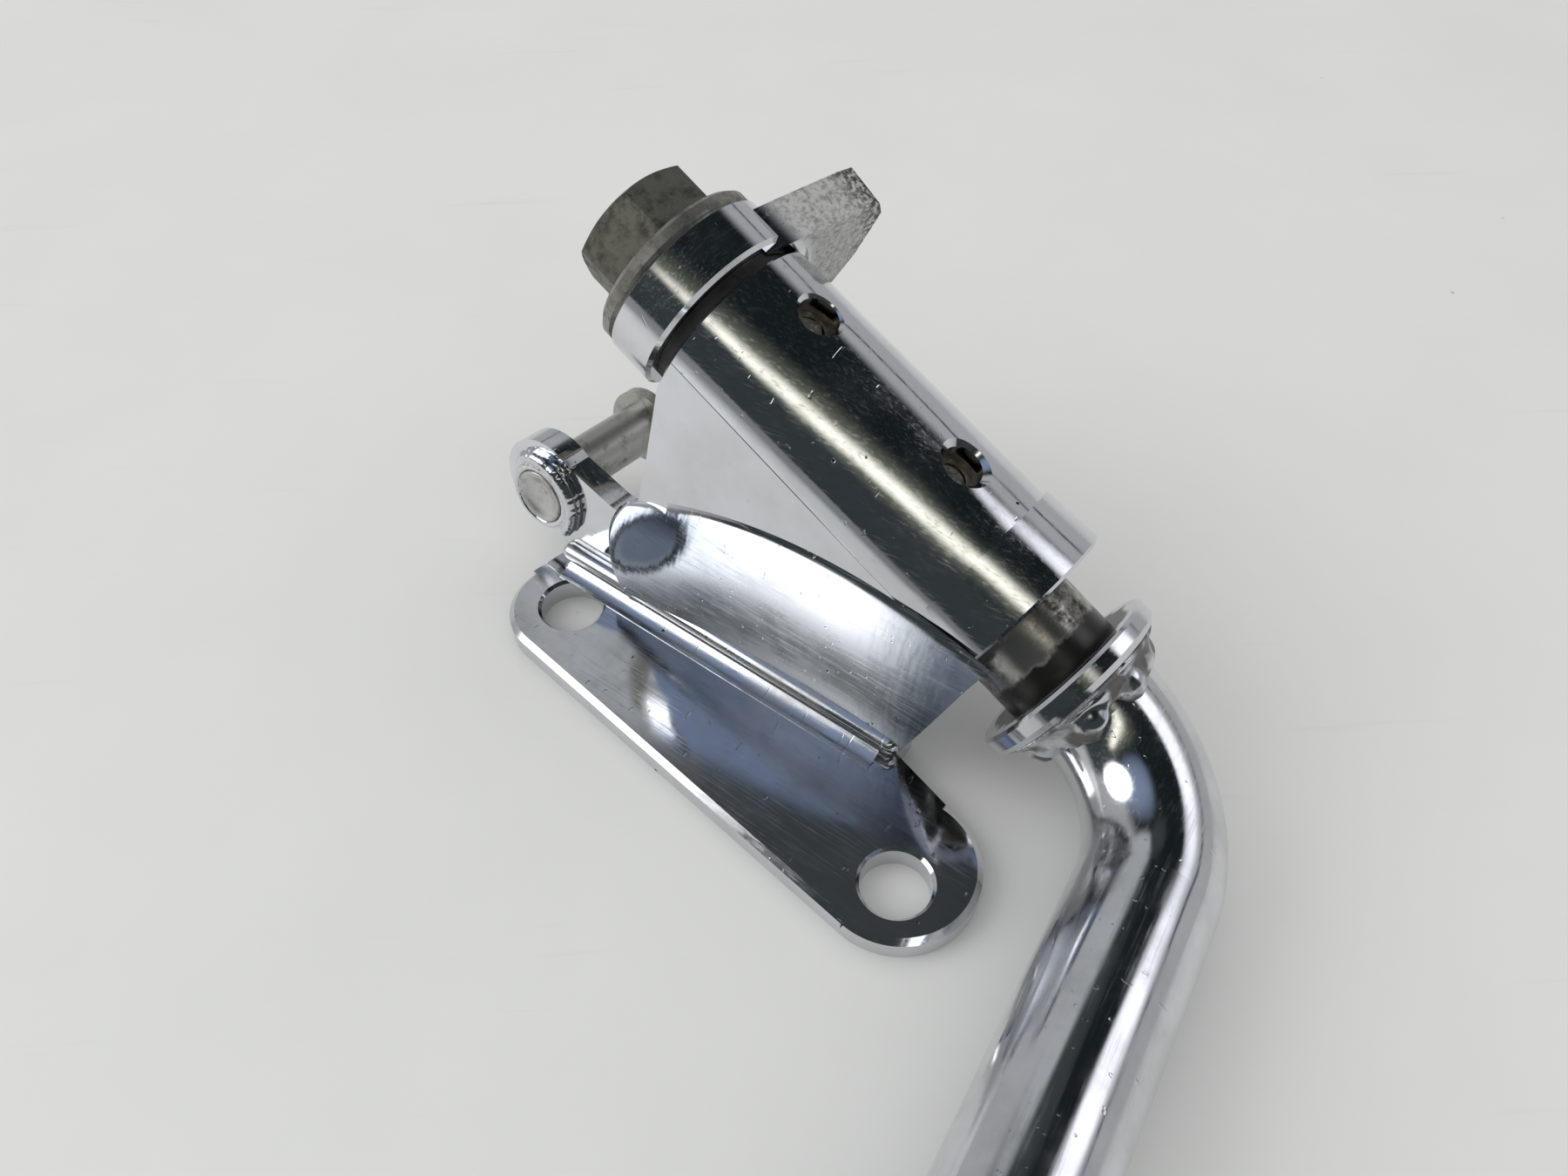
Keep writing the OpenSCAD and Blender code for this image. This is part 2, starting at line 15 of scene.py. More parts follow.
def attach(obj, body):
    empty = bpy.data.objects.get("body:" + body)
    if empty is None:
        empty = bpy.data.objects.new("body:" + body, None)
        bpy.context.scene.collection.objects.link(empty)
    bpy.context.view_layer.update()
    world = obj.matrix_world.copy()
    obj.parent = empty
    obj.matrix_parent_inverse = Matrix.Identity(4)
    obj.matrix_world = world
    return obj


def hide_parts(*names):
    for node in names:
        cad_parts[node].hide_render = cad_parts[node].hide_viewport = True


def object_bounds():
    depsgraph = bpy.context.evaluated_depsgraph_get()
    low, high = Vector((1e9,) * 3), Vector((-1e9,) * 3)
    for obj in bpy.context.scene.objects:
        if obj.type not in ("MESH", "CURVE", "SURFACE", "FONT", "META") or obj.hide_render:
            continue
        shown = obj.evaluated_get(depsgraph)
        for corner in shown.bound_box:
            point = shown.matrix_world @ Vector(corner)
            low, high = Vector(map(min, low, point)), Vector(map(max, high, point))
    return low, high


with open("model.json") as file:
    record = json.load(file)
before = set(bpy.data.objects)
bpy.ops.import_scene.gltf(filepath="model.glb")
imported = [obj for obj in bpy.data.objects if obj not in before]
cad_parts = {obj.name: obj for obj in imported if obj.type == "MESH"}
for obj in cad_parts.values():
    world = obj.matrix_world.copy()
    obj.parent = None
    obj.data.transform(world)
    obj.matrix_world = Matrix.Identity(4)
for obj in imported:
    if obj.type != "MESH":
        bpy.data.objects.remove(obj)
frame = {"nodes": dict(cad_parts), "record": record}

bl_info = {
    "name": "Motorcycle side stand",
    "version": (1, 0, 0),
    "blender": (4, 5, 0),
    "location": "View3D > Sidebar > Side stand",
    "description": "Finishes and small parts of a chromed motorcycle side stand",
    "category": "Object",
}

MM = 0.001
CAD_BOX = [list(corner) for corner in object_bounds()]
NODES = frame["nodes"]
RECORD = frame["record"]
MOUNTS = {m["name"]: m for m in RECORD["mounts"]}
HINGE = next(j for j in RECORD["behaviour"]["joints"] if j["type"] == "hinge")

# The pivot axis runs down the barrel from the bolt end towards the leg. AWAY and OVER are square to
# it, AWAY level and OVER upward.
PIVOT = Vector(HINGE["pos_m"])
ALONG = -Vector(HINGE["axis"]).normalized()
AWAY = Vector((0, 0, 1)).cross(ALONG).normalized()
OVER = ALONG.cross(AWAY)

# Directions of the web: INTO_WEB goes in through its front, FOLD runs along its foot away from the
# lug, and UP_WEB goes up its face. WEB_FOOT is where its foot starts, and LUG the middle of its lug.
INTO_WEB = Vector(MOUNTS["spring_anchor"]["axis"]).normalized()
FOLD = Vector((INTO_WEB.y, -INTO_WEB.x, 0)).normalized()
UP_WEB = FOLD.cross(INTO_WEB)
WEB_FOOT = Vector((-45.9, 6.9, 4.2)) * MM
LUG = WEB_FOOT - 4.8 * MM * FOLD + 12.2 * MM * UP_WEB

# The oval of painted dark reflection on the buffed panel: its middle, and half its length and half its width
OVAL_MIDDLE = WEB_FOOT + 19.5 * MM * FOLD + 15.3 * MM * UP_WEB
OVAL_HALVES = (10.5 * MM, 4.5 * MM)

# The pin's hammered end, a little off the middle of the lug. Each step of its dish is an inset and
# how far that ring then sinks, in millimetres.
PIN_END = LUG - 0.4 * MM * FOLD - 1.7 * MM * UP_WEB
PIN_RADIUS = 4.8 * MM
PIN_THICKNESS = 1.2 * MM
DISH_STEPS = ((0.5, 0.0), (0.7, 0.35), (0.9, 0.3), (1.1, 0.15), (0.9, 0.05))

# The rows of beads that make the rolled rim: start and end angle, distance from the pin's middle and
# radius in millimetres, number of beads, how far they wander, and how much the row's middle swells
RIM_ROWS = ((0, 360, 5.5, 0.75, 72, 0.02, 0.0), (118, -42, 7.3, 1.05, 60, 0.07, 0.35))

# Places along the pivot axis, from the barrel's bolt end, and the height of the grease over the axis
GREASE_HOLES = (10.5 * MM, 39.4 * MM)
GREASE_HEIGHT = 11.2 * MM
FLANGE_BACK = 73.5 * MM
WELD_BEADS = 11

# The way the bent bar was drawn over the polishing wheel
BAR_BRUSH = Vector((0.25, -0.965, 0.05))

# The foot of the leg: where it starts, its directions, and its rings as distance, half width and
# half thickness in millimetres
FOOT_START = Vector((100.956, -127.445, 12.295)) * MM
FOOT_WIDE = Vector((0.96843, 0.24929, 0.0)).normalized()
FOOT_AHEAD = Vector((0.24684, -0.95893, -0.13973)).normalized()
FOOT_RINGS = (
    (0, 9.8, 9.8), (2.5, 9.9, 9.55), (6, 10.2, 8.95), (10, 10.75, 8.1), (14, 11.4, 7.25),
    (18, 12.1, 6.45), (22, 12.85, 5.75), (26, 13.6, 5.1), (29, 14.15, 4.65), (32, 14.35, 4.35),
    (35, 14.0, 4.25), (37.5, 13.2, 4.2), (39.5, 12.2, 4.1), (41.5, 10.8, 3.85), (43, 9.3, 3.45),
    (44.3, 7.6, 2.75), (45.2, 5.9, 1.9), (45.7, 4.4, 1.0))

# The studio, by direction: the height of the rail on the far wall, and the ceiling's tube lamp on a
# flat ceiling 1 above the eye, as the way across it and along it and how far off it lies
RAIL_HEIGHT = 0.375
TUBE_ACROSS = (0.8645, -0.5023, 0)
TUBE_RUN = (0.5023, 0.8645, 0)
TUBE_OFFSET = 0.694
TUBE_LIGHT = (1.6, 1.55, 1.35, 1)
LAMP_LIGHT = (1.5, 1.5, 1.6, 1)
WINDOW_SPOT = (-1.62, -1.92, 1.68)
WINDOW_SIZE = (2.1, 2.4)

# Settings that many nodes share
TIMES = {"operation": "MULTIPLY"}
TIMES_PLUS = {"operation": "MULTIPLY_ADD"}
DIVIDED = {"operation": "DIVIDE"}
MINUS = {"operation": "SUBTRACT"}
LARGER = {"operation": "MAXIMUM"}
ABSOLUTE = {"operation": "ABSOLUTE"}
DOT = {"operation": "DOT_PRODUCT"}
LENGTH = {"operation": "LENGTH"}
SCALED = {"operation": "SCALE"}
SMOOTH = {"interpolation_type": "SMOOTHSTEP"}
COLOURS = {"data_type": "RGBA"}


# ---------------------------------------------------------------- settings

class ChromeSettings(bpy.types.PropertyGroup):
    """The plated finish of the bracket and the leg"""
    tint: bpy.props.StringProperty(
        name="Tint", description="Colour of the chrome as an sRGB hex value", default="DADCE0")
    roughness: bpy.props.FloatProperty(
        name="Roughness", description="Gloss of the clean plate",
        default=0.055, min=0, max=1, subtype="FACTOR")
    wave: bpy.props.FloatProperty(
        name="Polishing waves", description="Depth of the slow waves that hand polishing leaves",
        default=0.05 * MM, min=0, max=MM, unit="LENGTH")
    wave_size: bpy.props.FloatProperty(
        name="Wave width", description="Width of those waves",
        default=14 * MM, min=MM, max=0.1, unit="LENGTH")
    panel_satin: bpy.props.FloatProperty(
        name="Panel satin", description="Extra roughness of the buffed lower panel",
        default=0.2, min=0, max=1, subtype="FACTOR")
    panel_lift: bpy.props.FloatProperty(
        name="Panel lean", description="How far the buffed panel's shading leans back",
        default=0.62, min=0, max=1, subtype="FACTOR")
    crown: bpy.props.FloatProperty(
        name="Crown", description="How far the plate's flat is rounded by polishing",
        default=0.05, min=0, max=0.5, subtype="FACTOR")
    pit_spacing: bpy.props.FloatProperty(
        name="Pit spacing", description="Mean distance between the small pits",
        default=4.2 * MM, min=MM, max=0.05, unit="LENGTH")


class SteelSettings(bpy.types.PropertyGroup):
    """The bare and plated steel pieces"""
    bolt: bpy.props.StringProperty(
        name="Bolt", description="Weathered zinc plate, sRGB hex", default="74736A")
    shaft: bpy.props.StringProperty(
        name="Shaft", description="Bare turned steel, sRGB hex", default="8E8C88")
    pin: bpy.props.StringProperty(
        name="Spring pin", description="Dull pin, sRGB hex", default="B0AFAA")
    grease: bpy.props.StringProperty(
        name="Grease", description="Old grease and rust, sRGB hex", default="33301F")
    grain: bpy.props.FloatProperty(
        name="Grain", description="Size of the weathering blotches",
        default=2.2 * MM, min=0.1 * MM, max=0.02, unit="LENGTH")


class StudioSettings(bpy.types.PropertyGroup):
    """Camera, lamps and table"""
    lens: bpy.props.FloatProperty(
        name="Lens", description="Focal length of the camera in millimetres",
        default=28.0, min=10, max=200)
    eye: bpy.props.FloatVectorProperty(
        name="Camera", description="Where the camera stands",
        default=(0.0817, -0.0682, 0.1621), subtype="TRANSLATION", unit="LENGTH")
    aim: bpy.props.FloatVectorProperty(
        name="Aim", description="Point on the table that the camera looks at",
        default=(-0.01607, 0.03028, 0.0), subtype="TRANSLATION", unit="LENGTH")
    table: bpy.props.StringProperty(
        name="Table", description="Colour of the table top, sRGB hex", default="D8D9D7")
    fill: bpy.props.FloatProperty(
        name="Fill", description="Brightness of the even light from all round",
        default=0.87, min=0, max=4)
    window: bpy.props.FloatProperty(
        name="Window", description="Power of the soft window in watts",
        default=28.0, min=0, max=200)
    table_size: bpy.props.FloatProperty(
        name="Table size", description="Length of the table's side",
        default=24.0, min=1, max=60, unit="LENGTH")


# ------------------------------------------------------------ small helpers

def linear(code):
    """An sRGB hex colour as the linear values that a shader socket takes."""
    def channel(pair):
        c = int(pair, 16) / 255
        return c / 12.92 if c <= 0.04045 else ((c + 0.055) / 1.055) ** 2.4
    return (channel(code[0:2]), channel(code[2:4]), channel(code[4:6]), 1.0)


def add(tree, kind, settings=None, *values, **named):
    """Adds a node with its settings and links, and gives its first output in use.

    The values go in order to the inputs in use, and the named ones to the input of that name. Each is
    a plain value, an output that feeds it, or None to leave the input as it is. The setting called
    stops is a colour ramp's: each stop is a position and a grey level or a linear colour."""
    node = tree.nodes.new("ShaderNode" + kind)
    settings = dict(settings or {})
    stops = settings.pop("stops", ())
    for key, value in settings.items():
        setattr(node, key, value)
    if stops:
        elements = node.color_ramp.elements
        while len(elements) < len(stops):
            elements.new(0.5)
        for element, (position, tone) in zip(elements, stops):
            element.position = position
            element.color = tone if isinstance(tone, tuple) else (tone, tone, tone, 1)
    in_use = [socket for socket in node.inputs if socket.enabled]
    fed = list(zip(in_use, values))
    fed += [(node.inputs[key.replace("_", " ")], value) for key, value in named.items()]
    for socket, value in fed:
        if isinstance(value, bpy.types.NodeSocket):
            tree.links.new(value, socket)
        elif value is not None:
            socket.default_value = value
    return next((socket for socket in node.outputs if socket.enabled), None)


def start_material(name):
    """An empty node material with its Principled shader and Object coordinates."""
    material = bpy.data.materials.new(name)
    material.use_nodes = True
    material.node_tree.nodes.clear()
    surface = add(material.node_tree, "BsdfPrincipled")
    add(material.node_tree, "OutputMaterial", None, surface)
    add(material.node_tree, "TexCoord")
    return material, *parts_of(material)


def parts_of(material):
    """The tree of a material that starts as above, its shader and its Object coordinates."""
    tree = material.node_tree
    shader = next(n for n in tree.nodes if n.type == "BSDF_PRINCIPLED")
    place = next(n for n in tree.nodes if n.type == "TEX_COORD").outputs["Object"]
    return tree, shader, place


def connect(tree, shader, colour, rough, normal):
    """Feeds a shader its colour, its roughness and its normal."""
    tree.links.new(colour, shader.inputs["Base Color"])
    tree.links.new(rough, shader.inputs["Roughness"])
    tree.links.new(normal, shader.inputs["Normal"])


def cover(tree, shader, mask, colour, rough, metal):
    """Lays another finish over a shader's own where the mask is 1."""
    for name, level in (("Base Color", colour), ("Roughness", rough), ("Metallic", metal)):
        socket = shader.inputs[name]
        before = socket.links[0].from_socket if socket.is_linked else (socket.default_value,) * 3 + (1,)
        level = (level,) * 3 + (1,) if isinstance(level, float) else level
        tree.links.new(add(tree, "Mix", COLOURS, mask, before, level), socket)


def lean_over(tree, offset):
    """The surface's own normal, leaned over by an offset."""
    normal = add(tree, "NewGeometry").node.outputs["Normal"]
    leaned = add(tree, "VectorMath", {"operation": "ADD"}, normal, offset)
    return add(tree, "VectorMath", {"operation": "NORMALIZE"}, leaned)


def lie(tree, place, direction, stretch):
    """Coordinates whose X follows a direction and is drawn out by stretch."""
    turn = Vector(direction).to_track_quat("X", "Z").to_matrix().inverted().to_euler()
    turned = add(tree, "Mapping", None, place, Rotation=turn)
    return add(tree, "Mapping", None, turned, Scale=(1 / stretch, 1, 1))


def specks(tree, place, spacing, share, inner, outer):
    """Round specks in a share of the cells; inner and outer are the stops from their middle out."""
    away = add(tree, "TexVoronoi", {"feature": "F1"}, place, Scale=1 / spacing, Randomness=1.0)
    pick = add(tree, "SeparateColor", None, away.node.outputs["Color"])
    rare = add(tree, "Math", {"operation": "LESS_THAN"}, pick, share)
    spot = add(tree, "ValToRGB", {"stops": (inner, outer)}, away)
    return add(tree, "Math", TIMES, spot, rare)


def distance_along(tree, place, direction, origin=(0, 0, 0)):
    """How far a point lies along a direction from an origin."""
    rel = add(tree, "VectorMath", MINUS, place, origin)
    return add(tree, "VectorMath", DOT, rel, direction)


def axis_radius(tree, place):
    """Distance of a point from the pivot axis."""
    rel = add(tree, "VectorMath", MINUS, place, PIVOT)
    side = add(tree, "VectorMath", {"operation": "CROSS_PRODUCT"}, rel, ALONG)
    return add(tree, "VectorMath", LENGTH, side)


def glow(tree, way, azimuth, height, inner, outer):
    """1 inside a round patch of the surroundings and 0 outside it; angles in degrees."""
    a, h = math.radians(azimuth), math.radians(height)
    middle = Vector((math.cos(a) * math.cos(h), math.sin(a) * math.cos(h), math.sin(h)))
    near = add(tree, "VectorMath", DOT, way, middle)
    return add(tree, "MapRange", SMOOTH, near, math.cos(math.radians(outer)), math.cos(math.radians(inner)))


def dress(node_name, material):
    """Puts a material on a CAD node, or on a piece, in place of all it has."""
    obj = NODES[node_name] if isinstance(node_name, str) else node_name
    obj.data.materials.clear()
    obj.data.materials.append(material)


def deselect():
    """Nothing selected and no edit mode, so that an operator acts only on what it is given."""
    if bpy.context.object and bpy.context.object.mode != "OBJECT":
        bpy.ops.object.mode_set(mode="OBJECT")
    bpy.ops.object.select_all(action="DESELECT")


def settle(obj):
    """Applies the place, so that the object sits at the origin with its place in its mesh."""
    deselect()
    obj.select_set(True)
    bpy.context.view_layer.objects.active = obj
    bpy.ops.object.transform_apply(location=True, rotation=True, scale=True)
    return obj


def place_by(obj, origin, x, y, z):
    """Puts an object's mesh into a frame given by its origin and its three directions."""
    obj.matrix_world = Matrix.Translation(origin) @ Matrix((x, y, z)).transposed().to_4x4()
    return settle(obj)


def bead(radius, spot=(0, 0, 0)):
    """One round drop, to be fused with its neighbours."""
    deselect()
    bpy.ops.mesh.primitive_ico_sphere_add(subdivisions=3, radius=radius, location=spot)
    return bpy.context.object


def fuse(pieces, name, voxel, smooth):
    """Melts several closed pieces into one skin, as weld metal runs together."""
    deselect()
    for piece in pieces:
        piece.select_set(True)
    bpy.context.view_layer.objects.active = pieces[0]
    bpy.ops.object.join()
    obj = bpy.context.object
    obj.name = name
    skin = obj.modifiers.new("skin", "REMESH")
    skin.mode = "VOXEL"
    skin.voxel_size = voxel
    even = obj.modifiers.new("even", "SMOOTH")
    even.factor = 0.5
    even.iterations = smooth
    for modifier in ("skin", "even"):
        bpy.ops.object.modifier_apply(modifier=modifier)
    bpy.ops.object.shade_smooth()
    return obj


def spread_halves(obj, distance):
    """Moves the selected vertices apart along Y, those at y > 0 one way and the rest the other."""
    for side in (1, -1):
        bpy.ops.object.mode_set(mode="OBJECT")
        points = obj.data.vertices
        ring = [v.index for v in points if v.select]
        rest = [n for n in ring if points[n].co.y * side <= 0]
        for edge in obj.data.edges:
            edge.select = False
        for face in obj.data.polygons:
            face.select = False
        for n in rest:
            points[n].select = False
        bpy.ops.object.mode_set(mode="EDIT")
        bpy.ops.transform.translate(value=(0, side * distance, 0))
        bpy.ops.object.mode_set(mode="OBJECT")
        for n in rest:
            obj.data.vertices[n].select = True
        bpy.ops.object.mode_set(mode="EDIT")


def stand_at(data, spot, target):
    """Stands a lamp or a camera at a spot, turned towards a target."""
    holder = bpy.data.objects.new(data.name, data)
    bpy.context.scene.collection.objects.link(holder)
    holder.location = spot
    holder.rotation_euler = (Vector(target) - Vector(spot)).to_track_quat("-Z", "Y").to_euler()
    return holder


# ---------------------------------------------------------------- materials

def panel_mask(tree, place):
    """1 on the bulged lower panel, which stands out in front of the web's plane, and 0 elsewhere."""
    out = distance_along(tree, place, -INTO_WEB, WEB_FOOT)
    out = add(tree, "MapRange", SMOOTH, out, 0.1 * MM, 0.7 * MM)
    along = distance_along(tree, place, FOLD, WEB_FOOT)
    along = add(tree, "MapRange", SMOOTH, along, 4 * MM, 7 * MM)
    low = distance_along(tree, place, UP_WEB, WEB_FOOT)
    low = add(tree, "MapRange", SMOOTH, low, 32 * MM, 29 * MM)
    return add(tree, "Math", TIMES, add(tree, "Math", TIMES, out, along), low)


def buffed_panel(tree, place, colour, rough, pit):
    """Lays the lower panel's finish over a colour and a roughness, and gives them and its normal.

    The panel is pale and satin, spreads light, and leans back a little more than its neighbours; its pale
    tone whitens along it as a painted sheen. An oval near the lug and the panel's far end are darkened as
    painted dark reflections."""
    s = bpy.context.scene.stand_chrome
    mask = panel_mask(tree, place)
    reach = distance_along(tree, place, FOLD, WEB_FOOT)
    upright = lie(tree, place, UP_WEB, 9)
    swirl = add(tree, "TexNoise", None, upright, Scale=1 / (0.8 * MM), Detail=4.0, Roughness=0.65)

    # Painted dark reflection: a blue-grey oval near the lug, and the panel's far end
    long_way = distance_along(tree, place, (FOLD + UP_WEB).normalized(), OVAL_MIDDLE)
    short_way = distance_along(tree, place, (FOLD - UP_WEB).normalized(), OVAL_MIDDLE)
    long_way = add(tree, "Math", DIVIDED, long_way, OVAL_HALVES[0])
    short_way = add(tree, "Math", DIVIDED, short_way, OVAL_HALVES[1])
    oval = add(tree, "VectorMath", LENGTH, add(tree, "CombineXYZ", None, long_way, short_way))
    oval = add(tree, "MapRange", SMOOTH, add(tree, "Math", TIMES_PLUS, swirl, 0.4, oval), 1.5, 0.8)
    far_end = add(tree, "Math", TIMES_PLUS, swirl, 10 * MM, reach)
    far_end = add(tree, "MapRange", SMOOTH, far_end, 64 * MM, 80 * MM)
    dark = add(tree, "Math", TIMES, add(tree, "Math", LARGER, oval, far_end), mask)

    # Painted sheen: the panel's pale satin tone whitens along its length
    painted_sheen = add(tree, "MapRange", SMOOTH, reach, 30 * MM, 50 * MM)
    pale = add(tree, "Mix", COLOURS, painted_sheen, linear("BCC1C9"), linear("E9ECF2"))
    sound = add(tree, "Math", TIMES, mask, add(tree, "Math", MINUS, 1.0, pit))
    colour = add(tree, "Mix", COLOURS, sound, colour, pale)
    dark = add(tree, "Math", TIMES, dark, 0.85)
    colour = add(tree, "Mix", COLOURS, dark, colour, linear("4A586E"))

    # The oval hardly leans, and is hardly satin
    mask = add(tree, "Math", TIMES, mask, add(tree, "Math", TIMES_PLUS, oval, -0.8, 1.0))
    side = add(tree, "MapRange", SMOOTH, reach, 40 * MM, 62 * MM)
    side = add(tree, "Math", TIMES, side, -0.1 * s.panel_lift)
    lift = add(tree, "CombineXYZ", None, side, None, s.panel_lift)
    normal = lean_over(tree, add(tree, "VectorMath", SCALED, lift, mask))
    rough = add(tree, "Math", TIMES_PLUS, mask, s.panel_satin, rough)
    return colour, rough, normal


def decorative_chrome(name, brush=FOLD, worn=0.0, pits=1.0, panel=False, crown=False):
    """Decorative chrome over nickel on a forging, polished by hand: mirror gloss, slow waves, fine
    lines along the polishing, and a few pits where the plate has let go."""
    s = bpy.context.scene.stand_chrome
    material, tree, shader, place = start_material(name)
    shader.inputs["Metallic"].default_value = 1.0
    drawn = lie(tree, place, brush, 26)
    lines = add(tree, "TexNoise", None, drawn, Scale=1 / (0.35 * MM), Detail=4.0, Roughness=0.6)
    athwart = lie(tree, place, brush.cross(Vector((0.2, 0.3, 1))), 18)
    cross = add(tree, "TexNoise", None, athwart, Scale=1 / (0.5 * MM), Detail=3.0, Roughness=0.6)
    haze = add(tree, "TexNoise", None, place, Scale=1 / (9 * MM), Detail=5.0, Roughness=0.62)
    wave = add(tree, "TexNoise", None, place, Scale=1 / s.wave_size, Detail=1.0, Roughness=0.4)
    # A few deeper scratches, some millimetres long
    aslant = lie(tree, place, brush.cross(Vector((0.7, -0.1, 0.5))), 22)
    deep = add(tree, "TexNoise", None, aslant, Scale=1 / (0.9 * MM), Detail=1.0, Roughness=0.4)
    scratch = add(tree, "ValToRGB", {"stops": ((0.73, 0.0), (0.77, 1.0))}, deep)
    # Pits, about 0.5 mm across
    pit = specks(tree, place, s.pit_spacing, 0.3 * pits, (0.045, 1.0), (0.08, 0.0))

    # Roughness rises in the hazy patches, along the polishing lines and in the pits
    hazy = add(tree, "ValToRGB", {"stops": ((0.42, 0.0), (0.75, 1.0))}, haze)
    rough = add(tree, "Math", TIMES_PLUS, hazy, 0.10 + worn * 0.2, s.roughness + worn * 0.1)
    lined = add(tree, "ValToRGB", {"stops": ((0.5, 0.0), (0.75, 1.0))}, lines)
    rough = add(tree, "Math", TIMES_PLUS, lined, 0.16, rough)
    rough = add(tree, "Math", LARGER, rough, pit)
    dull = add(tree, "ValToRGB", {"stops": ((0.4, 0.0), (0.8, 0.35 + worn))}, haze)
    colour = add(tree, "Mix", COLOURS, dull, linear(s.tint), linear("B4B3B0"))
    colour = add(tree, "Mix", COLOURS, pit, colour, linear("2E2A26"))

    normal = None
    if crown:
        # Hand polishing leaves the flat a little crowned towards the web
        back = distance_along(tree, place, (0, 1, 0))
        back = add(tree, "MapRange", SMOOTH, back, -19 * MM, 2 * MM)
        normal = lean_over(tree, add(tree, "VectorMath", SCALED, (0, s.crown, 0), back))
    if panel:
        colour, rough, normal = buffed_panel(tree, place, colour, rough, pit)
    # Heights, each with its strength and depth; scratches and pits go in instead of standing out
    for height, strength, depth, sunk in (
            (wave, 1.0, s.wave, False), (lines, 0.35, 0.004 * MM, False), (cross, 0.25, 0.004 * MM, False),
            (scratch, 0.6, 0.03 * MM, True), (pit, 0.8, 0.08 * MM, True)):
        normal = add(tree, "Bump", {"invert": sunk}, strength, depth, Height=height, Normal=normal)
    connect(tree, shader, colour, rough, normal)
    return material


def weathered_steel(name, code, stain, gloss=0.42, patch=0.55, brush=ALONG, shine="A9A8A2"):
    """Zinc-plated or bare steel that has stood outdoors: dull metal with fine scratches, and darker
    blotches that are rougher and stand a little proud."""
    s = bpy.context.scene.stand_steel
    material, tree, shader, place = start_material(name)
    shader.inputs["Metallic"].default_value = 0.9
    blotch = add(tree, "TexNoise", None, place, Scale=1 / s.grain, Detail=8.0, Roughness=0.7)
    broad = add(tree, "TexNoise", None, place, Scale=1 / (8 * MM), Detail=3.0, Roughness=0.5)
    drawn = lie(tree, place, brush, 20)
    lines = add(tree, "TexNoise", None, drawn, Scale=1 / (0.3 * MM), Detail=3.0, Roughness=0.6)
    spots = add(tree, "ValToRGB", {"stops": ((patch - 0.1, 0.0), (patch + 0.1, 1.0))}, blotch)
    areas = add(tree, "ValToRGB", {"stops": ((0.35, 0.15), (0.65, 1.0))}, broad)
    dirt = add(tree, "Math", TIMES, spots, areas)
    colour = add(tree, "Mix", COLOURS, lines, linear(code), linear(shine))
    colour = add(tree, "Mix", COLOURS, dirt, colour, linear(stain))
    rough = add(tree, "Math", TIMES_PLUS, dirt, 0.3, gloss)
    normal = add(tree, "Bump", None, 0.5, 0.05 * MM, Height=blotch)
    normal = add(tree, "Bump", None, 0.4, 0.015 * MM, Height=lines, Normal=normal)
    connect(tree, shader, colour, rough, normal)
    return material


def grainy_filler(name, size, detail, roughness, tones, gloss, strength, depth):
    """Something dark that isn't metal; its tones, its gloss and its relief all follow one grain."""
    material, tree, shader, place = start_material(name)
    grain = add(tree, "TexNoise", None, place, Scale=1 / size, Detail=detail, Roughness=roughness)
    tones = tuple((position, linear(code)) for position, code in tones)
    colour = add(tree, "ValToRGB", {"stops": tones}, grain)
    rough = add(tree, "ValToRGB", {"stops": gloss}, grain)
    connect(tree, shader, colour, rough, add(tree, "Bump", None, strength, depth, Height=grain))
    return material


# ---------------------------------------------------------------- operators

class STAND_OT_bracket(bpy.types.Operator):
    """Chromes the mounting plate, the forged housing and the bead between them"""
    bl_idname = "stand.bracket"
    bl_label = "Bracket"

    def execute(self, context):
        # The flat has worn a little, so its mirror is slightly hazy
        flat = decorative_chrome("chrome plate on forging, flat polished", FOLD, 0.1, crown=True)
        dress("mounting_plate", flat)
        # The barrel keeps its mirror, beside the satin of the buffed panel
        dress("pivot_housing", decorative_chrome("chrome plate on forging, barrel and web", FOLD, panel=True))
        # A bead can't be polished in its valleys, so its plate is hazy
        dress("foot_weld", decorative_chrome("chrome plate on weld bead", FOLD, 0.7, 0.5))
        return {"FINISHED"}


class STAND_OT_bushes(bpy.types.Operator):
    """Finishes the two bushes in the barrel"""
    bl_idname = "stand.bushes"
    bl_label = "Bushes"

    def execute(self, context):
        # Oil in its pores makes the bronze brown and dull
        bronze = weathered_steel("sintered bronze, oiled", "8A6F45", "3C3222", 0.4)
        dress("bolt_end_bush", bronze)
        dress("leg_end_bush", bronze)
        return {"FINISHED"}


